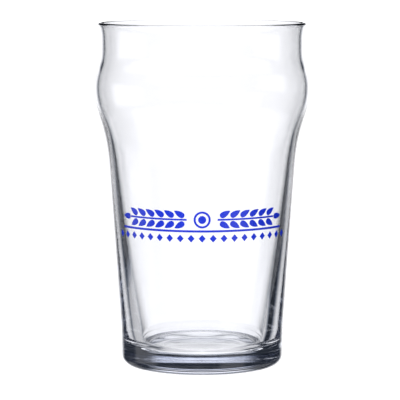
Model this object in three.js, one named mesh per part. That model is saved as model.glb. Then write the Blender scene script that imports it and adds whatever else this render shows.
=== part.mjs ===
// Nonic pint glass: one heavy pressed glass body with a fired enamel frieze.
// Millimetres, +Z up. The origin is the centre of the bearing ring, so the glass
// stands on Z = 0, and the frieze faces -Y.

import * as THREE from 'three';

// ---- Outside of the glass ------------------------------------------------------
const HEIGHT = 149;            // table to the top of the lip
const BULGE_RADIUS = 46.75;    // the no-nick ring, the widest part
const LIP_TO_NECK = 11;        // heights, each measured down from the one above
const NECK_TO_BULGE = 17;
const BULGE_TO_WAIST = 35;
const FOOT_HEIGHT = 17;        // upright band at the bottom
const BULGE_TO_NECK_IN = 2.75; // how far the neck stands in from the bulge
const LIP_FLARE = 1.1;         // how far the lip stands out from the neck
const NECK_STRAIGHT = 3.5;     // upright stretch at the top of the neck
const BULGE_TO_WAIST_IN = 6.55;
const WAIST_TO_FOOT_IN = 4.8;  // the straight taper
const FOOT_DRAFT = 0.3;        // the foot draws in by this much towards the heel
const HEEL_ROUND = 3.9;        // radius of the edge under the foot

// ---- Inside of the glass -------------------------------------------------------
const LIP_THICKNESS = 1.9;
const NECK_WALL = 1.8;
const BULGE_WALL = 1.75;
const WAIST_WALL = 3.05;
const BELLY_WALL = 5.0;        // sets how full the inside is between waist and well
const BELLY_HEIGHT = 40.5;
const WELL_WALL = 7.9;         // beside the bottom of the bowl
const WELL_DEPTH = 5;          // height of the rounded corner between wall and floor
const WELL_WIDTH = 10.5;       // width of the same corner
const FLOOR_THICKNESS = 7.4;

// ---- Underside -----------------------------------------------------------------
const BEARING_WIDTH = 4;       // flat ring that the glass stands on
const PUNT_RISE = 1.1;         // how far the middle of the underside is pushed up

// ---- How strongly each curve of the section holds its end directions -----------
const WAIST_PULL = 0.6;
const BULGE_PULL = 0.33;
const SWELL_PULL = 0.4;
const NECK_PULL = 0.5;

// ---- Enamel frieze -------------------------------------------------------------
const ENAMEL_THICKNESS = 0.2;
const ENAMEL_GAP = 0.1;        // clearance between the enamel and the glass facets
const FRIEZE_DROP = 18.5;      // waist to the middle line of the barley ears
const ROUNDEL_DISC = 1.7;
const ROUNDEL_GAP = 1.0;       // between the disc and the ring round it
const ROUNDEL_BAND = 0.9;      // width of that ring
const EAR_GAP = 2.9;           // between the roundel and the foot of each stalk
const STALK_FOOT = 1.0;        // bare stalk before the first grains
const STALK_THICKNESS = 0.8;
const GRAIN_PAIRS = 6;
const GRAIN_LENGTH = 5.0;
const GRAIN_WIDTH = 2.7;
const GRAIN_TILT = 30;         // degrees away from the stalk
const GRAIN_STALK_FULLNESS = 0.7; // how round each end of a grain is
const GRAIN_TIP_FULLNESS = 0.6;
const GRAIN_TIP_START = 0.2;   // where the grain starts to narrow towards its point
const GRAIN_GAP = 0.2;         // between a grain and what it stands next to
const RULE_GAP = 0.6;          // between the ears and the rule
const RULE_THICKNESS = 0.95;
const LOZENGE_GAP = 1.0;       // between the rule and the lozenges
const LOZENGE_WIDTH = 3.0;
const LOZENGE_TALL = 3.3;
const LOZENGE_OVERHANG = 3.5;  // how far the row reaches past each end of the rule
const LOZENGE_COUNT = 19;

// ---- Facets --------------------------------------------------------------------
const AROUND = 60;             // facets around the glass
const CURVE_STEPS = 6;         // facets along each curve of the outline
const STRIP_STEP = 3;          // longest facet along a curved enamel strip

const glass = new THREE.MeshStandardMaterial({
  name: 'clear_glass', color: 0xf3f7f9, roughness: 0.04, metalness: 0,
});
const enamel = new THREE.MeshStandardMaterial({
  name: 'blue_enamel', color: 0x2433d4, roughness: 0.28, metalness: 0,
});

// Heights and radii of the places where the outside changes direction.
const neckHeight = HEIGHT - LIP_TO_NECK;
const bulgeHeight = neckHeight - NECK_TO_BULGE;
const waistHeight = bulgeHeight - BULGE_TO_WAIST;
const neckRadius = BULGE_RADIUS - BULGE_TO_NECK_IN;
const waistRadius = BULGE_RADIUS - BULGE_TO_WAIST_IN;
const footRadius = waistRadius - WAIST_TO_FOOT_IN;

// The straight taper between foot and waist carries the frieze.
const taperSlope = WAIST_TO_FOOT_IN / (waistHeight - FOOT_HEIGHT);
const taperRadius = (z) => footRadius + taperSlope * (z - FOOT_HEIGHT);

// Half of the glass's section, from the axis on the underside, up the outside,
// over the lip and down the inside to the axis. X is the radius, Y the height.
function glassOutline() {
  const lipHeight = HEIGHT - LIP_THICKNESS / 2;
  const lipRadius = neckRadius + LIP_FLARE;
  const neckTop = neckHeight + NECK_STRAIGHT;
  const bearingOuter = footRadius - FOOT_DRAFT - HEEL_ROUND;
  const bearingInner = bearingOuter - BEARING_WIDTH;

  const innerNeck = neckRadius - NECK_WALL;
  const innerBulge = BULGE_RADIUS - BULGE_WALL;
  const innerWaist = waistRadius - WAIST_WALL;
  const innerBelly = taperRadius(BELLY_HEIGHT) - BELLY_WALL;
  const innerWell = footRadius - WELL_WALL;
  const wellHeight = FLOOR_THICKNESS + WELL_DEPTH;
  const bellySlope = (innerWaist - innerBelly) / (waistHeight - BELLY_HEIGHT);
  const wellSlope = (innerBelly - innerWell) / (BELLY_HEIGHT - wellHeight);

  const waistReach = BULGE_TO_WAIST * WAIST_PULL;
  const waistTurn = waistHeight + waistReach;
  const bulgeTurn = bulgeHeight - BULGE_TO_WAIST * BULGE_PULL;
  const swellTurn = bulgeHeight + NECK_TO_BULGE * SWELL_PULL;
  const neckTurn = neckHeight - NECK_TO_BULGE * NECK_PULL;
  const flareTurn = (neckTop + lipHeight) / 2;

  const outline = new THREE.Path();
  outline.moveTo(0, PUNT_RISE);
  outline.quadraticCurveTo(bearingInner / 2, PUNT_RISE, bearingInner, 0);
  outline.lineTo(bearingOuter, 0);
  outline.absarc(bearingOuter, HEEL_ROUND, HEEL_ROUND, -Math.PI / 2, 0, false);
  outline.lineTo(footRadius, FOOT_HEIGHT);
  outline.lineTo(waistRadius, waistHeight);
  outline.bezierCurveTo(
    waistRadius + taperSlope * waistReach, waistTurn,
    BULGE_RADIUS, bulgeTurn,
    BULGE_RADIUS, bulgeHeight,
  );
  outline.bezierCurveTo(
    BULGE_RADIUS, swellTurn,
    neckRadius, neckTurn,
    neckRadius, neckHeight,
  );
  outline.lineTo(neckRadius, neckTop);
  outline.quadraticCurveTo(neckRadius, flareTurn, lipRadius, lipHeight);
  outline.absarc(
    lipRadius - LIP_THICKNESS / 2, lipHeight, LIP_THICKNESS / 2, 0, Math.PI, false,
  );
  outline.quadraticCurveTo(innerNeck, flareTurn, innerNeck, neckTop);
  outline.lineTo(innerNeck, neckHeight);
  outline.bezierCurveTo(
    innerNeck, neckTurn,
    innerBulge, swellTurn,
    innerBulge, bulgeHeight,
  );
  outline.bezierCurveTo(
    innerBulge, bulgeTurn,
    innerWaist + bellySlope * waistReach, waistTurn,
    innerWaist, waistHeight,
  );
  outline.quadraticCurveTo(innerBelly, BELLY_HEIGHT, innerWell, wellHeight);
  outline.quadraticCurveTo(
    innerWell - wellSlope * WELL_DEPTH, FLOOR_THICKNESS,
    innerWell - WELL_WIDTH, FLOOR_THICKNESS,
  );
  outline.lineTo(0, FLOOR_THICKNESS);
  return outline;
}

function glassBody() {
  const points = glassOutline().getPoints(CURVE_STEPS);
  const geometry = new THREE.LatheGeometry(points, AROUND);
  geometry.rotateX(Math.PI / 2);
  return geometry;
}

// ---- Layout of the frieze, worked out from the sizes of its pieces --------------

// A grain of barley lying along X, round at the stalk end and pointed at the other.
function grainShape() {
  const half = GRAIN_LENGTH / 2;
  const round = GRAIN_WIDTH * GRAIN_STALK_FULLNESS;
  const taper = GRAIN_WIDTH * GRAIN_TIP_FULLNESS;
  const shape = new THREE.Shape();
  shape.moveTo(-half, 0);
  shape.bezierCurveTo(-half, -round, half * GRAIN_TIP_START, -taper, half, 0);
  shape.bezierCurveTo(half * GRAIN_TIP_START, taper, -half, round, -half, 0);
  return shape;
}

// Lowest and highest point of a grain that stands tilted over the stalk.
const tilt = THREE.MathUtils.degToRad(GRAIN_TILT);
const grainHeights = grainShape().getPoints(CURVE_STEPS).map(
  (point) => point.x * Math.sin(tilt) + point.y * Math.cos(tilt),
);
const grainLow = Math.min(...grainHeights);
const grainHigh = Math.max(...grainHeights);

const grainOffset = STALK_THICKNESS / 2 + GRAIN_GAP - grainLow;
const grainPitch = GRAIN_LENGTH * Math.cos(tilt) + GRAIN_GAP;
const ringInner = ROUNDEL_DISC + ROUNDEL_GAP;
const ringOuter = ringInner + ROUNDEL_BAND;
const earStart = ringOuter + EAR_GAP;
const stalkLength = STALK_FOOT + GRAIN_PAIRS * grainPitch;
const tipMiddle = earStart + stalkLength + GRAIN_GAP + GRAIN_LENGTH / 2;
const earEnd = tipMiddle + GRAIN_LENGTH / 2;
const lozengeReach = earEnd + LOZENGE_OVERHANG - LOZENGE_WIDTH / 2;

const earRow = waistHeight - FRIEZE_DROP;
const ruleRow = earRow - grainOffset - grainHigh - RULE_GAP - RULE_THICKNESS / 2;
const lozengeRowHeight = ruleRow - RULE_THICKNESS / 2 - LOZENGE_GAP - LOZENGE_TALL / 2;

// Bends a flat piece of enamel round the taper. Its X runs along the arc from the
// middle of the frieze, its Y is the height above the row and its Z the thickness.
function wrapOnTaper(geometry, rowHeight) {
  const arcRadius = taperRadius(rowHeight);
  const position = geometry.attributes.position;
  for (let i = 0; i < position.count; i += 1) {
    const angle = position.getX(i) / arcRadius;
    const z = rowHeight + position.getY(i);
    const radius = taperRadius(z) + ENAMEL_GAP + position.getZ(i);
    position.setXYZ(i, radius * Math.sin(angle), -radius * Math.cos(angle), z);
  }
  geometry.computeVertexNormals();
  return geometry;
}

function enamelMesh(name, geometry, rowHeight) {
  const mesh = new THREE.Mesh(wrapOnTaper(geometry, rowHeight), enamel);
  mesh.name = name;
  return mesh;
}

// A long strip has cross-cuts along its length, so that it follows the curve.
function strip(length, height) {
  const steps = Math.ceil(length / STRIP_STEP);
  const geometry = new THREE.BoxGeometry(length, height, ENAMEL_THICKNESS, steps, 1, 1);
  geometry.translate(0, 0, ENAMEL_THICKNESS / 2);
  return geometry;
}

function plate(shape, curveSegments) {
  return new THREE.ExtrudeGeometry(shape, {
    depth: ENAMEL_THICKNESS, bevelEnabled: false, curveSegments,
  });
}

function grain(turn) {
  return plate(grainShape(), CURVE_STEPS).rotateZ(turn);
}

// One ear lies along the row, with its point away from the roundel.
// side is 1 for the ear at +X and -1 for the ear at -X.
function barleyEar(name, side) {
  const pieces = [];
  const stalk = strip(stalkLength, STALK_THICKNESS);
  stalk.translate(side * (earStart + stalkLength / 2), 0, 0);
  pieces.push(enamelMesh(`${name}_stalk`, stalk, earRow));
  for (let pair = 0; pair < GRAIN_PAIRS; pair += 1) {
    const along = earStart + stalkLength - (pair + 0.5) * grainPitch;
    for (const [label, up] of [['upper', 1], ['lower', -1]]) {
      const piece = grain(side > 0 ? up * tilt : Math.PI - up * tilt);
      piece.translate(side * along, up * grainOffset, 0);
      pieces.push(enamelMesh(`${name}_${label}_grain_${pair + 1}`, piece, earRow));
    }
  }
  const tip = grain(side > 0 ? 0 : Math.PI);
  tip.translate(side * tipMiddle, 0, 0);
  pieces.push(enamelMesh(`${name}_tip_grain`, tip, earRow));
  return pieces;
}

function roundel() {
  const ring = new THREE.Shape();
  ring.absarc(0, 0, ringOuter, 0, Math.PI * 2, false);
  const hole = new THREE.Path();
  hole.absarc(0, 0, ringInner, 0, Math.PI * 2, true);
  ring.holes.push(hole);
  const disc = new THREE.Shape();
  disc.absarc(0, 0, ROUNDEL_DISC, 0, Math.PI * 2, false);
  return [
    enamelMesh('roundel_ring', plate(ring, CURVE_STEPS * 3), earRow),
    enamelMesh('roundel_disc', plate(disc, CURVE_STEPS * 2), earRow),
  ];
}

function lozengeRow() {
  const pieces = [];
  for (let i = 0; i < LOZENGE_COUNT; i += 1) {
    const shape = new THREE.Shape([
      new THREE.Vector2(LOZENGE_WIDTH / 2, 0),
      new THREE.Vector2(0, LOZENGE_TALL / 2),
      new THREE.Vector2(-LOZENGE_WIDTH / 2, 0),
      new THREE.Vector2(0, -LOZENGE_TALL / 2),
    ]);
    const lozenge = plate(shape, 1);
    lozenge.translate(lozengeReach * ((2 * i) / (LOZENGE_COUNT - 1) - 1), 0, 0);
    const number = String(i + 1).padStart(2, '0');
    pieces.push(enamelMesh(`lozenge_${number}`, lozenge, lozengeRowHeight));
  }
  return pieces;
}

const body = new THREE.Mesh(glassBody(), glass);
body.name = 'glass_body';

const pintGlass = new THREE.Group();
pintGlass.add(body);
pintGlass.add(enamelMesh('frieze_rule', strip(2 * earEnd, RULE_THICKNESS), ruleRow));
pintGlass.add(...roundel());
pintGlass.add(...barleyEar('left_ear', -1));
pintGlass.add(...barleyEar('right_ear', 1));
pintGlass.add(...lozengeRow());

export default pintGlass;
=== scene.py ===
"""A heavy pub pint glass with a fired enamel frieze, standing on a white studio sweep."""
import math

import bpy
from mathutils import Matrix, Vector


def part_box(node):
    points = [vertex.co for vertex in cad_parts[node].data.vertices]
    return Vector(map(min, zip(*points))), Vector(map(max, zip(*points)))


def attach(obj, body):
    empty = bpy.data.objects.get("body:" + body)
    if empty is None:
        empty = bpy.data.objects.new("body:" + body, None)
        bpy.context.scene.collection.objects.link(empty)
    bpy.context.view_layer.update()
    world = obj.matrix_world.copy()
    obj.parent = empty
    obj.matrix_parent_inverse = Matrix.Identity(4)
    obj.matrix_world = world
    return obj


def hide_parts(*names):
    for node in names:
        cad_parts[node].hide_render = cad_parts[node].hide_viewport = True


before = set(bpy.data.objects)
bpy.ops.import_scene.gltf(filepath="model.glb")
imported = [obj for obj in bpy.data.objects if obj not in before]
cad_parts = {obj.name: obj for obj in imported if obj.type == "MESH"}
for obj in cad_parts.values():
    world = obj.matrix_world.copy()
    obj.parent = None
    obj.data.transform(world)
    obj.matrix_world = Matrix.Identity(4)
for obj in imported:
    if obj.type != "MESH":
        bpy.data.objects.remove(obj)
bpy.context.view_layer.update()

MM = 0.001
GLASS_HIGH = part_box("glass_body")[1]

# ---- The glass's section, in millimetres ----------------------------------------------
HEIGHT = GLASS_HIGH.z / MM
BULGE_RADIUS = GLASS_HIGH.y / MM
BULGE_HEIGHT = 121.0
LIP_RADIUS = 45.1
LIP_THICKNESS = 1.9
NECK_RADIUS = 44.0
NECK_HEIGHT = 138.0
NECK_STRAIGHT = 3.5
WAIST_RADIUS = 40.2
WAIST_HEIGHT = 86.0
FOOT_RADIUS = 35.4
FOOT_HEIGHT = 17.0
FOOT_DRAFT = 0.3
HEEL_ROUND = 3.9
NECK_WALL = 1.8
BULGE_WALL = 1.75
WAIST_WALL = 3.05
BELLY_WALL = 5.0
BELLY_HEIGHT = 40.5
WELL_WALL = 7.9
WELL_DEPTH = 5.0
FLOOR_THICKNESS = 7.4
FLOOR_RADIUS = 17.0
BEARING_WIDTH = 4.0
PUNT_RISE = 1.1
WAIST_PULL = 0.6        # how strongly each curve of the section holds its end directions
BULGE_PULL = 0.33
SWELL_PULL = 0.4
NECK_PULL = 0.5
TAPER_SLOPE = (WAIST_RADIUS - FOOT_RADIUS) / (WAIST_HEIGHT - FOOT_HEIGHT)

STIPPLE_ROWS = 4        # rows of dimples across the bearing ring
STIPPLE_DEPTH = 0.12
STIPPLE_EDGE = 0.16     # width of the slope round each dimple

# ---- The enamel frieze, in millimetres ------------------------------------------------
ENAMEL_LIFT = 0.015     # film's underside over the glass
ENAMEL_FILM = 0.07      # film's thickness in its middle
ENAMEL_EDGE = 0.09      # width of its rounded edge
FRIEZE_DROP = 18.5      # from the waist down to the middle of the ears
ROUNDEL_DISC = 1.7
ROUNDEL_GAP = 1.0
ROUNDEL_BAND = 0.9
EAR_GAP = 2.9
STALK_FOOT = 1.0
STALK_THICKNESS = 0.8
GRAIN_PAIRS = 6
GRAIN_LENGTH = 5.0
GRAIN_WIDTH = 2.7
GRAIN_TILT = math.radians(30)
GRAIN_STALK_FULLNESS = 0.7
GRAIN_TIP_FULLNESS = 0.6
GRAIN_TIP_START = 0.2
GRAIN_GAP = 0.2
RULE_GAP = 0.6
RULE_THICKNESS = 0.95
LOZENGE_GAP = 1.0
LOZENGE_WIDTH = 3.0
LOZENGE_TALL = 3.3
LOZENGE_OVERHANG = 3.5  # how far the row of lozenges runs past each end of the rule
LOZENGE_COUNT = 19

# ---- Fineness of the meshes -----------------------------------------------------------
CURVE_STEPS = 16        # points along each curve
SPIN_STEPS = 256        # facets around the glass
GRAIN_ROWS = 4
DISC_FACETS = 48
DISC_INSETS = 3
RING_FACETS = 72
LOZENGE_CELLS = 6
STRIP_ROWS = 2
SWEEP_FACETS = 64
GLASS_MERGE = 0.005     # points closer than this become one, in millimetres
FLAT_MERGE = 0.001
WRAP_MERGE = 0.002
TABLE_TOUCH = 0.001     # points lower than this rest on the table, in millimetres
SMOOTH_ANGLE = math.radians(40)

# ---- Finishes -------------------------------------------------------------------------
GLASS_IOR = 1.52
GLASS_TINT = (0.70, 0.78, 1.0, 1)
GLASS_TINT_DENSITY = 5.0
ORANGE_PEEL = 0.005     # height of the waves in the fire-polished surface, in millimetres
PEEL_SCALE = 40.0       # waves in a metre
PEEL_DETAIL = 1.0
ENAMEL_DEEP = (0.009, 0.026, 0.48, 1)
ENAMEL_PALE = (0.015, 0.042, 0.62, 1)
ENAMEL_SMOOTHEST = 0.18
ENAMEL_ROUGHEST = 0.34
FRIT_HEIGHT = 0.01      # height of the fired grains of enamel, in millimetres
FRIT_STRENGTH = 0.4
FRIT_SCALE = 1400.0     # grains in a metre
FRIT_DETAIL = 3.0

# ---- Studio, in metres and degrees ----------------------------------------------------
CAMERA_DISTANCE = 0.9685
CAMERA_HEIGHT = 0.178
CAMERA_SIDE = -0.0009
CAMERA_PITCH = 6.265
CAMERA_LENS = 200.76    # in millimetres
SWEEP_RADIUS = 4.0
SWEEP_GREY = 0.3
FLOOR_GLOW = 0.95
WALL_GLOW = 1.1
SOFTBOX_PLACE = (-0.12, -1.2, 0.7)
SOFTBOX_AIM = (0, 0, 0.07)
SOFTBOX_SIZE = 0.8
SOFTBOX_POWER = 22.0    # in watts
LIGHT_BOUNCES = 24

# Light panels round the glass: azimuth from +Y towards +X, and elevation.
# azimuth, half width, soft edge, bottom, top, soft edge, brightness
PANELS = {
    "back_wall": (0, 15, 19, -22, 2, 5, 1.23),
    "ground_ahead": (0, 13, 24, -90, -20, 5, 1.15),
    "overhead": (0, 180, 1, 66, 90, 12, 1.2),
    "table": (0, 180, 1, -90, -54, 16, 0.8),
    "left_window": (-90, 14, 14, -15, 2, 6, 1.0),
    "left_table": (-120, 24, 16, -90, -26, 5, 0.7),
    "corner_window": (135, 13, 12, -46, -7, 6, 0.98),
    "right_table": (85, 30, 12, -90, -26, 5, 0.75),
    "near_table": (180, 40, 20, -90, -24, 5, 0.95),
    "room_behind": (180, 30, 25, -8, 2, 7, 0.5),
    "far_table": (-45, 8, 11, -40, -22.5, 4, 0.6),
    "high_right": (92, 14, 12, 44, 62, 6, 1.1),
    "high_left": (-95, 15, 12, 44, 62, 6, 0.65),
    "skylight_right": (26, 6, 8, 44, 60, 6, 0.9),
    "skylight_left": (-26, 6, 8, 44, 60, 6, 0.9),
}
ROOM_BRIGHTNESS = 0.03
ROOM_TONE = (0.58, 0.72, 1.0, 1)
PANEL_TONE = (0.96, 0.965, 1.0, 1)
PANEL_TONE_FROM = 0.5   # brightness from which the light has the panels' tone


# ---- Small helpers --------------------------------------------------------------------

def start_clean():
    """Nothing may be selected before a primitive is added."""
    if bpy.context.object and bpy.context.object.mode != "OBJECT":
        bpy.ops.object.mode_set(mode="OBJECT")
    bpy.ops.object.select_all(action="DESELECT")


def finish_piece(name):
    """Takes the edited mesh back to object mode, with its place in its mesh."""
    bpy.ops.object.mode_set(mode="OBJECT")
    piece = bpy.context.object
    piece.name = name
    piece.data.name = name
    bpy.ops.object.transform_apply(location=True, rotation=True, scale=True)
    return piece


def clean_shell(piece, gap):
    """Merges points closer than a gap in metres, and turns every face outwards."""
    bpy.ops.object.select_all(action="DESELECT")
    piece.select_set(True)
    bpy.context.view_layer.objects.active = piece
    bpy.ops.object.mode_set(mode="EDIT")
    bpy.ops.mesh.select_all(action="SELECT")
    bpy.ops.mesh.remove_doubles(threshold=gap)
    bpy.ops.mesh.normals_make_consistent(inside=False)
    bpy.ops.object.mode_set(mode="OBJECT")


def taper_radius(height):
    """Outside radius of the straight taper that carries the frieze."""
    return FOOT_RADIUS + TAPER_SLOPE * (height - FOOT_HEIGHT)


def bezier(*points):
    """Points along a quadratic or cubic curve, without its first point."""
    degree = len(points) - 1
    curve = []
    for step in range(1, CURVE_STEPS + 1):
        t = step / CURVE_STEPS
        weights = [
            math.comb(degree, k) * (1 - t) ** (degree - k) * t ** k
            for k in range(degree + 1)]
        curve.append(tuple(
            sum(weight * point[axis] for weight, point in zip(weights, points))
            for axis in (0, 1)))
    return curve


def arc(centre, radius, start, end):
    """Points along an arc, angles in degrees, without its first point."""
    curve = []
    for step in range(1, CURVE_STEPS + 1):
        angle = math.radians(start + (end - start) * step / CURVE_STEPS)
        curve.append((
            centre[0] + radius * math.cos(angle),
            centre[1] + radius * math.sin(angle)))
    return curve


# ---- Glass ----------------------------------------------------------------------------

def glass_section():
    """Half of the section in millimetres: underside, outside, lip and inside."""
    lip_height = HEIGHT - LIP_THICKNESS / 2
    neck_top = NECK_HEIGHT + NECK_STRAIGHT
    shoulder = BULGE_HEIGHT - WAIST_HEIGHT
    swell = NECK_HEIGHT - BULGE_HEIGHT
    bearing_outer = FOOT_RADIUS - FOOT_DRAFT - HEEL_ROUND
    bearing_inner = bearing_outer - BEARING_WIDTH
    inner_neck = NECK_RADIUS - NECK_WALL
    inner_bulge = BULGE_RADIUS - BULGE_WALL
    inner_waist = WAIST_RADIUS - WAIST_WALL
    inner_belly = taper_radius(BELLY_HEIGHT) - BELLY_WALL
    inner_well = FOOT_RADIUS - WELL_WALL
    well_height = FLOOR_THICKNESS + WELL_DEPTH
    belly_slope = (inner_waist - inner_belly) / (WAIST_HEIGHT - BELLY_HEIGHT)
    well_slope = (inner_belly - inner_well) / (BELLY_HEIGHT - well_height)
    waist_reach = shoulder * WAIST_PULL
    waist_turn = WAIST_HEIGHT + waist_reach
    bulge_turn = BULGE_HEIGHT - shoulder * BULGE_PULL
    swell_turn = BULGE_HEIGHT + swell * SWELL_PULL
    neck_turn = NECK_HEIGHT - swell * NECK_PULL
    flare_turn = (neck_top + lip_height) / 2

    section = [(0, PUNT_RISE)]
    section += bezier((0, PUNT_RISE), (bearing_inner / 2, PUNT_RISE), (bearing_inner, 0))
    section += [
        (bearing_inner + BEARING_WIDTH * row / STIPPLE_ROWS, 0)
        for row in range(1, STIPPLE_ROWS + 1)]
    section += arc((bearing_outer, HEEL_ROUND), HEEL_ROUND, -90, 0)
    section += [(FOOT_RADIUS, FOOT_HEIGHT), (WAIST_RADIUS, WAIST_HEIGHT)]
    section += bezier(
        (WAIST_RADIUS, WAIST_HEIGHT), (WAIST_RADIUS + TAPER_SLOPE * waist_reach, waist_turn),
        (BULGE_RADIUS, bulge_turn), (BULGE_RADIUS, BULGE_HEIGHT))
    section += bezier(
        (BULGE_RADIUS, BULGE_HEIGHT), (BULGE_RADIUS, swell_turn),
        (NECK_RADIUS, neck_turn), (NECK_RADIUS, NECK_HEIGHT))
    section.append((NECK_RADIUS, neck_top))
    section += bezier(
        (NECK_RADIUS, neck_top), (NECK_RADIUS, flare_turn), (LIP_RADIUS, lip_height))
    section += arc((LIP_RADIUS - LIP_THICKNESS / 2, lip_height), LIP_THICKNESS / 2, 0, 180)
    section += bezier(
        (LIP_RADIUS - LIP_THICKNESS, lip_height), (inner_neck, flare_turn),
        (inner_neck, neck_top))
    section.append((inner_neck, NECK_HEIGHT))
    section += bezier(
        (inner_neck, NECK_HEIGHT), (inner_neck, neck_turn),
        (inner_bulge, swell_turn), (inner_bulge, BULGE_HEIGHT))
    section += bezier(
        (inner_bulge, BULGE_HEIGHT), (inner_bulge, bulge_turn),
        (inner_waist + belly_slope * waist_reach, waist_turn), (inner_waist, WAIST_HEIGHT))
    section += bezier(
        (inner_waist, WAIST_HEIGHT), (inner_belly, BELLY_HEIGHT), (inner_well, well_height))
    section += bezier(
        (inner_well, well_height), (inner_well - well_slope * WELL_DEPTH, FLOOR_THICKNESS),
        (FLOOR_RADIUS, FLOOR_THICKNESS))
    section.append((0, FLOOR_THICKNESS))
    return section


def stipple(glass):
    """Dimples all over the flat ring that the glass stands on."""
    bpy.ops.object.mode_set(mode="EDIT")
    bpy.ops.mesh.select_mode(type="FACE")
    bpy.ops.mesh.select_all(action="DESELECT")
    bpy.ops.object.mode_set(mode="OBJECT")
    points = glass.data.vertices
    for face in glass.data.polygons:
        face.select = all(points[i].co.z < TABLE_TOUCH * MM for i in face.vertices)
    bpy.ops.object.mode_set(mode="EDIT")
    bpy.ops.mesh.inset(
        thickness=STIPPLE_EDGE * MM, depth=-STIPPLE_DEPTH * MM, use_individual=True)
    bpy.ops.object.mode_set(mode="OBJECT")


def make_glass():
    """The half section is drawn point by point from one vertex, then spun round the axis."""
    section = glass_section()
    start_clean()
    bpy.ops.mesh.primitive_plane_add(size=MM, location=(0, 0, section[0][1] * MM))
    bpy.ops.object.mode_set(mode="EDIT")
    bpy.ops.mesh.select_all(action="SELECT")
    bpy.ops.mesh.merge(type="CENTER")
    for here, there in zip(section, section[1:]):
        step = ((there[0] - here[0]) * MM, 0, (there[1] - here[1]) * MM)
        bpy.ops.mesh.extrude_region_move(TRANSFORM_OT_translate={"value": step})
    bpy.ops.mesh.select_all(action="SELECT")
    bpy.ops.mesh.spin(
        steps=SPIN_STEPS, angle=2 * math.pi, center=(0, 0, 0), axis=(0, 0, 1),
        use_auto_merge=True)
    glass = finish_piece("pint_glass")
    clean_shell(glass, GLASS_MERGE * MM)
    stipple(glass)
    bpy.ops.object.shade_smooth()
    return glass


# ---- Materials ------------------------------------------------------------------------

def new_material(name):
    """A material, with its node tree and its Principled shader."""
    material = bpy.data.materials.new(name)
    material.use_nodes = True
    tree = material.node_tree
    return material, tree, tree.nodes["Principled BSDF"]


def noise_on_piece(tree, scale, detail):
    """Noise that is fixed to the piece."""
    place = tree.nodes.new("ShaderNodeTexCoord")
    noise = tree.nodes.new("ShaderNodeTexNoise")
    noise.inputs["Scale"].default_value = scale
    noise.inputs["Detail"].default_value = detail
    tree.links.new(place.outputs["Object"], noise.inputs["Vector"])
    return noise.outputs["Fac"]


def roughen(tree, shader, relief, height, strength=1.0):
    """Gives the shader's surface a relief, with its height in millimetres."""
    bump = tree.nodes.new("ShaderNodeBump")
    bump.inputs["Strength"].default_value = strength
    bump.inputs["Distance"].default_value = height * MM
    tree.links.new(relief, bump.inputs["Height"])
    tree.links.new(bump.outputs["Normal"], shader.inputs["Normal"])


def clear_glass_material():
    """Fire-polished soda-lime glass, with a faint orange peel and a cool tint in depth."""
    material, tree, shader = new_material("clear_glass")
    shader.inputs["Base Color"].default_value = (1, 1, 1, 1)
    shader.inputs["Transmission Weight"].default_value = 1.0
    shader.inputs["IOR"].default_value = GLASS_IOR
    shader.inputs["Roughness"].default_value = 0.0
    absorption = tree.nodes.new("ShaderNodeVolumeAbsorption")
    absorption.inputs["Color"].default_value = GLASS_TINT
    absorption.inputs["Density"].default_value = GLASS_TINT_DENSITY
    tree.links.new(absorption.outputs["Volume"], tree.nodes["Material Output"].inputs["Volume"])
    roughen(tree, shader, noise_on_piece(tree, PEEL_SCALE, PEEL_DETAIL), ORANGE_PEEL)
    return material


def blue_enamel_material():
    """Screen-printed ceramic enamel, fired glossy, with the grain of its frit."""
    material, tree, shader = new_material("blue_enamel")
    frit = noise_on_piece(tree, FRIT_SCALE, FRIT_DETAIL)
    tone = tree.nodes.new("ShaderNodeValToRGB")
    tone.color_ramp.elements[0].color = ENAMEL_DEEP
    tone.color_ramp.elements[1].color = ENAMEL_PALE
    tree.links.new(frit, tone.inputs["Fac"])
    tree.links.new(tone.outputs["Color"], shader.inputs["Base Color"])
    gloss = tree.nodes.new("ShaderNodeMapRange")
    gloss.inputs["To Min"].default_value = ENAMEL_SMOOTHEST
    gloss.inputs["To Max"].default_value = ENAMEL_ROUGHEST
    tree.links.new(frit, gloss.inputs["Value"])
    tree.links.new(gloss.outputs["Result"], shader.inputs["Roughness"])
    roughen(tree, shader, frit, FRIT_HEIGHT, FRIT_STRENGTH)
    return material


# ---- Layout of the frieze, in millimetres ---------------------------------------------

def grain_outline():
    """Upper edge of a grain that lies along X, from its stalk end to its tip."""
    half = GRAIN_LENGTH / 2
    return [(-half, 0.0)] + bezier(
        (-half, 0), (-half, GRAIN_WIDTH * GRAIN_STALK_FULLNESS),
        (half * GRAIN_TIP_START, GRAIN_WIDTH * GRAIN_TIP_FULLNESS), (half, 0))


# Heights of the points round a tilted grain, over its middle.
GRAIN_HEIGHTS = [
    x * math.sin(GRAIN_TILT) + y * side * math.cos(GRAIN_TILT)
    for x, y in grain_outline() for side in (-1, 1)]
GRAIN_OFFSET = STALK_THICKNESS / 2 + GRAIN_GAP - min(GRAIN_HEIGHTS)
GRAIN_PITCH = GRAIN_LENGTH * math.cos(GRAIN_TILT) + GRAIN_GAP
ROUNDEL_RADIUS = ROUNDEL_DISC + ROUNDEL_GAP + ROUNDEL_BAND
EAR_START = ROUNDEL_RADIUS + EAR_GAP
STALK_LENGTH = STALK_FOOT + GRAIN_PAIRS * GRAIN_PITCH
TIP_MIDDLE = EAR_START + STALK_LENGTH + GRAIN_GAP + GRAIN_LENGTH / 2
EAR_END = TIP_MIDDLE + GRAIN_LENGTH / 2
EAR_ROW = WAIST_HEIGHT - FRIEZE_DROP
RULE_ROW = EAR_ROW - GRAIN_OFFSET - max(GRAIN_HEIGHTS) - RULE_GAP - RULE_THICKNESS / 2
LOZENGE_ROW = RULE_ROW - RULE_THICKNESS / 2 - LOZENGE_GAP - LOZENGE_TALL / 2
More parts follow.
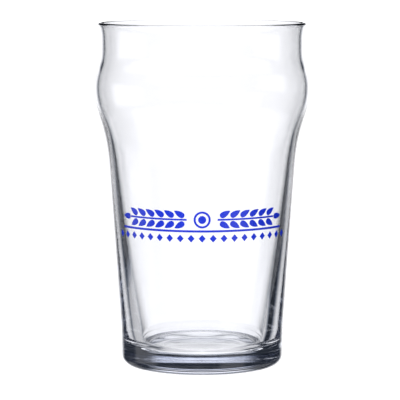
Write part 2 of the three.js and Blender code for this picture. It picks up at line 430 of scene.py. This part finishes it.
LOZENGE_REACH = EAR_END + LOZENGE_OVERHANG - LOZENGE_WIDTH / 2


# ---- Pieces of the frieze, modelled flat in millimetres and then wrapped --------------

def flat_grid(length, height, columns, rows):
    """A flat sheet in edit mode, centred on the origin."""
    start_clean()
    bpy.ops.mesh.primitive_grid_add(x_subdivisions=columns, y_subdivisions=rows, size=1)
    bpy.ops.object.mode_set(mode="EDIT")
    bpy.ops.transform.resize(value=(length, height, 1))
    return bpy.context.object


def film(name):
    """Raises the flat sheet being edited into a film of enamel with a rounded edge."""
    bpy.ops.mesh.select_all(action="SELECT")
    bpy.ops.mesh.remove_doubles(threshold=FLAT_MERGE)
    bpy.ops.mesh.extrude_region_move(TRANSFORM_OT_translate={"value": (0, 0, ENAMEL_FILM / 2)})
    bpy.ops.mesh.inset(thickness=ENAMEL_EDGE, depth=ENAMEL_FILM / 2, use_boundary=True)
    return finish_piece(name)


def model_grain():
    """A grain: a sheet whose rows are drawn in to the grain's outline."""
    upper = grain_outline()
    columns = len(upper) - 1
    sheet = flat_grid(1, 1, columns, GRAIN_ROWS)
    bpy.ops.object.mode_set(mode="OBJECT")
    for vertex in sheet.data.vertices:
        x, half_width = upper[round((vertex.co.x + 0.5) * columns)]
        vertex.co = (x, 2 * vertex.co.y * half_width, 0)
    bpy.ops.object.mode_set(mode="EDIT")
    return film("grain")


def model_disc():
    """The middle of the roundel."""
    start_clean()
    bpy.ops.mesh.primitive_circle_add(
        vertices=DISC_FACETS, radius=ROUNDEL_DISC, fill_type="NGON")
    bpy.ops.object.mode_set(mode="EDIT")
    for _ in range(DISC_INSETS):
        bpy.ops.mesh.inset(thickness=ROUNDEL_DISC / (DISC_INSETS + 1))
    return film("disc")


def model_ring():
    """The band round the roundel's disc."""
    start_clean()
    bpy.ops.mesh.primitive_circle_add(
        vertices=RING_FACETS, radius=ROUNDEL_RADIUS, fill_type="NGON")
    bpy.ops.object.mode_set(mode="EDIT")
    bpy.ops.mesh.inset(thickness=ROUNDEL_BAND)
    bpy.ops.mesh.delete(type="FACE")
    return film("ring")


def model_lozenge():
    """A square sheet, turned onto its corner and drawn out to the lozenge's size."""
    sheet = flat_grid(1, 1, LOZENGE_CELLS, LOZENGE_CELLS)
    bpy.ops.object.mode_set(mode="OBJECT")
    for vertex in sheet.data.vertices:
        x, y = vertex.co.x, vertex.co.y
        vertex.co = ((x - y) * LOZENGE_WIDTH / 2, (x + y) * LOZENGE_TALL / 2, 0)
    bpy.ops.object.mode_set(mode="EDIT")
    return film("lozenge")


def model_strip(name, length, height):
    """A straight strip with about one column to the millimetre, so that it can bend."""
    flat_grid(length, height, round(length), STRIP_ROWS)
    return film(name)


def wrap(model, node, row, along=0.0, up=0.0, turn=0.0):
    """A copy of a flat film laid on the taper in place of the CAD's node."""
    piece = model.copy()
    piece.data = model.data.copy()
    piece.name = piece.data.name = "enamel_" + node
    bpy.context.scene.collection.objects.link(piece)
    arc_radius = taper_radius(row)
    for vertex in piece.data.vertices:
        x, y, thick = vertex.co
        angle = (along + x * math.cos(turn) - y * math.sin(turn)) / arc_radius
        height = row + up + x * math.sin(turn) + y * math.cos(turn)
        radius = taper_radius(height) + ENAMEL_LIFT + thick
        vertex.co = (
            radius * math.sin(angle) * MM, -radius * math.cos(angle) * MM, height * MM)
    clean_shell(piece, WRAP_MERGE * MM)
    bpy.ops.object.shade_smooth_by_angle(angle=SMOOTH_ANGLE)
    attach(piece, "root")
    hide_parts(node)


def wrap_ear(ear, side, stalk, grain):
    """One barley ear to the left, -1, or the right, 1: its stalk, paired grains and tip."""
    outward = 0.0 if side > 0 else math.pi
    wrap(stalk, f"{ear}_stalk", EAR_ROW, side * (EAR_START + STALK_LENGTH / 2))
    for pair in range(GRAIN_PAIRS):
        along = side * (EAR_START + STALK_LENGTH - (pair + 0.5) * GRAIN_PITCH)
        for label, up in (("upper", 1), ("lower", -1)):
            wrap(
                grain, f"{ear}_{label}_grain_{pair + 1}", EAR_ROW, along,
                up * GRAIN_OFFSET, outward + side * up * GRAIN_TILT)
    wrap(grain, f"{ear}_tip_grain", EAR_ROW, side * TIP_MIDDLE, 0.0, outward)


def make_frieze(enamel):
    """Two barley ears either side of a roundel, over a rule and a row of lozenges."""
    grain, disc, ring, lozenge = model_grain(), model_disc(), model_ring(), model_lozenge()
    stalk = model_strip("stalk", STALK_LENGTH, STALK_THICKNESS)
    rule = model_strip("rule", 2 * EAR_END, RULE_THICKNESS)
    models = (grain, disc, ring, lozenge, stalk, rule)
    for model in models:
        model.data.materials.append(enamel)

    wrap(rule, "frieze_rule", RULE_ROW)
    wrap(ring, "roundel_ring", EAR_ROW)
    wrap(disc, "roundel_disc", EAR_ROW)
    wrap_ear("left_ear", -1, stalk, grain)
    wrap_ear("right_ear", 1, stalk, grain)
    for number in range(LOZENGE_COUNT):
        along = LOZENGE_REACH * (2 * number / (LOZENGE_COUNT - 1) - 1)
        wrap(lozenge, f"lozenge_{number + 1:02d}", LOZENGE_ROW, along)
    for model in models:
        bpy.data.objects.remove(model)


# ---- Studio ---------------------------------------------------------------------------

def make_camera():
    """In front of the glass and a little above it, looking slightly down."""
    data = bpy.data.cameras.new("camera")
    data.lens = CAMERA_LENS
    camera = bpy.data.objects.new("camera", data)
    bpy.context.scene.collection.objects.link(camera)
    camera.location = (CAMERA_SIDE, -CAMERA_DISTANCE, CAMERA_HEIGHT)
    camera.rotation_euler = (math.radians(90 - CAMERA_PITCH), 0, 0)
    bpy.context.scene.camera = camera


def white_card(name, glow):
    """A matt card that glows, so that it is evenly white."""
    material, _, shader = new_material(name)
    shader.inputs["Base Color"].default_value = (SWEEP_GREY, SWEEP_GREY, SWEEP_GREY, 1)
    shader.inputs["Roughness"].default_value = 1.0
    shader.inputs["Specular IOR Level"].default_value = 0.0
    shader.inputs["Emission Color"].default_value = (1, 1, 1, 1)
    shader.inputs["Emission Strength"].default_value = glow
    return material


def make_sweep():
    """Floor and wall of a white sweep, which only the camera sees."""
    start_clean()
    bpy.ops.mesh.primitive_circle_add(
        vertices=SWEEP_FACETS, radius=SWEEP_RADIUS, fill_type="NGON")
    floor = finish_piece("floor")
    floor.data.materials.append(white_card("floor_white", FLOOR_GLOW))
    start_clean()
    bpy.ops.mesh.primitive_cylinder_add(
        vertices=SWEEP_FACETS, radius=SWEEP_RADIUS, depth=SWEEP_RADIUS,
        end_fill_type="NOTHING", location=(0, 0, SWEEP_RADIUS / 2))
    wall = finish_piece("sweep_wall")
    wall.data.materials.append(white_card("wall_white", WALL_GLOW))
    for card in (floor, wall):
        card.visible_transmission = False
        card.visible_glossy = False
        card.visible_diffuse = False
        card.visible_shadow = False


def math_node(tree, operation, *values):
    """One Math node, fed with numbers or with other nodes' outputs."""
    node = tree.nodes.new("ShaderNodeMath")
    node.operation = operation
    for socket, value in zip(node.inputs, values):
        if isinstance(value, (int, float)):
            socket.default_value = value
        else:
            tree.links.new(value, socket)
    return node.outputs[0]


def soft_step(tree, value, dark, bright):
    """0 at dark and beyond, 1 at bright and beyond, with a smooth change between."""
    step = tree.nodes.new("ShaderNodeMapRange")
    step.interpolation_type = "SMOOTHSTEP"
    step.inputs["From Min"].default_value = dark
    step.inputs["From Max"].default_value = bright
    tree.links.new(value, step.inputs["Value"])
    return step.outputs["Result"]


def panel_light(tree, azimuth, elevation, panel):
    """What one panel sends from a direction: its brightness, fading out past its edges."""
    centre, half_width, side_edge, bottom, top, level_edge, brightness = panel
    apart = math_node(tree, "SUBTRACT", azimuth, centre)
    away = math_node(tree, "ABSOLUTE", math_node(tree, "WRAP", apart, 180, -180))
    across = soft_step(tree, away, half_width + side_edge, half_width)
    over = soft_step(tree, elevation, bottom - level_edge, bottom)
    under = soft_step(tree, elevation, top + level_edge, top)
    upright = math_node(tree, "MULTIPLY", over, under)
    mask = math_node(tree, "MULTIPLY", across, upright)
    return math_node(tree, "MULTIPLY", mask, brightness)


def make_room():
    """The world: a dim bluish room with bright soft panels all round the glass."""
    world = bpy.data.worlds.new("studio")
    bpy.context.scene.world = world
    world.use_nodes = True
    tree = world.node_tree
    background = tree.nodes["Background"]
    direction = tree.nodes.new("ShaderNodeTexCoord")
    split = tree.nodes.new("ShaderNodeSeparateXYZ")
    tree.links.new(direction.outputs["Generated"], split.inputs[0])
    x, y, z = split.outputs
    azimuth = math_node(tree, "DEGREES", math_node(tree, "ARCTAN2", x, y))
    elevation = math_node(tree, "DEGREES", math_node(tree, "ARCSINE", z))
    light = ROOM_BRIGHTNESS
    for panel in PANELS.values():
        light = math_node(tree, "MAXIMUM", light, panel_light(tree, azimuth, elevation, panel))
    tree.links.new(light, background.inputs["Strength"])
    tone = tree.nodes.new("ShaderNodeValToRGB")
    tone.color_ramp.elements[0].color = ROOM_TONE
    tone.color_ramp.elements[1].color = PANEL_TONE
    tone.color_ramp.elements[1].position = PANEL_TONE_FROM
    tree.links.new(light, tone.inputs["Fac"])
    tree.links.new(tone.outputs["Color"], background.inputs["Color"])


def make_softbox():
    """A soft lamp in front that lights the enamel and isn't seen in or through the glass."""
    start_clean()
    bpy.ops.object.light_add(type="AREA", location=SOFTBOX_PLACE)
    lamp = bpy.context.object
    lamp.name = "front_softbox"
    lamp.data.size = SOFTBOX_SIZE
    lamp.data.energy = SOFTBOX_POWER
    lamp.visible_glossy = False
    lamp.visible_transmission = False
    aim = Vector(SOFTBOX_AIM) - lamp.location
    lamp.rotation_euler = aim.to_track_quat("-Z", "Y").to_euler()


def set_look():
    """Plain colours, and enough bounces for light to cross every wall of the glass."""
    scene = bpy.context.scene
    scene.view_settings.view_transform = "Standard"
    scene.cycles.max_bounces = LIGHT_BOUNCES
    scene.cycles.transmission_bounces = LIGHT_BOUNCES
    scene.cycles.glossy_bounces = LIGHT_BOUNCES


make_camera()
make_sweep()
make_room()
make_softbox()
set_look()

glass = make_glass()
glass.data.materials.append(clear_glass_material())
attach(glass, "root")
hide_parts("glass_body")

make_frieze(blue_enamel_material())
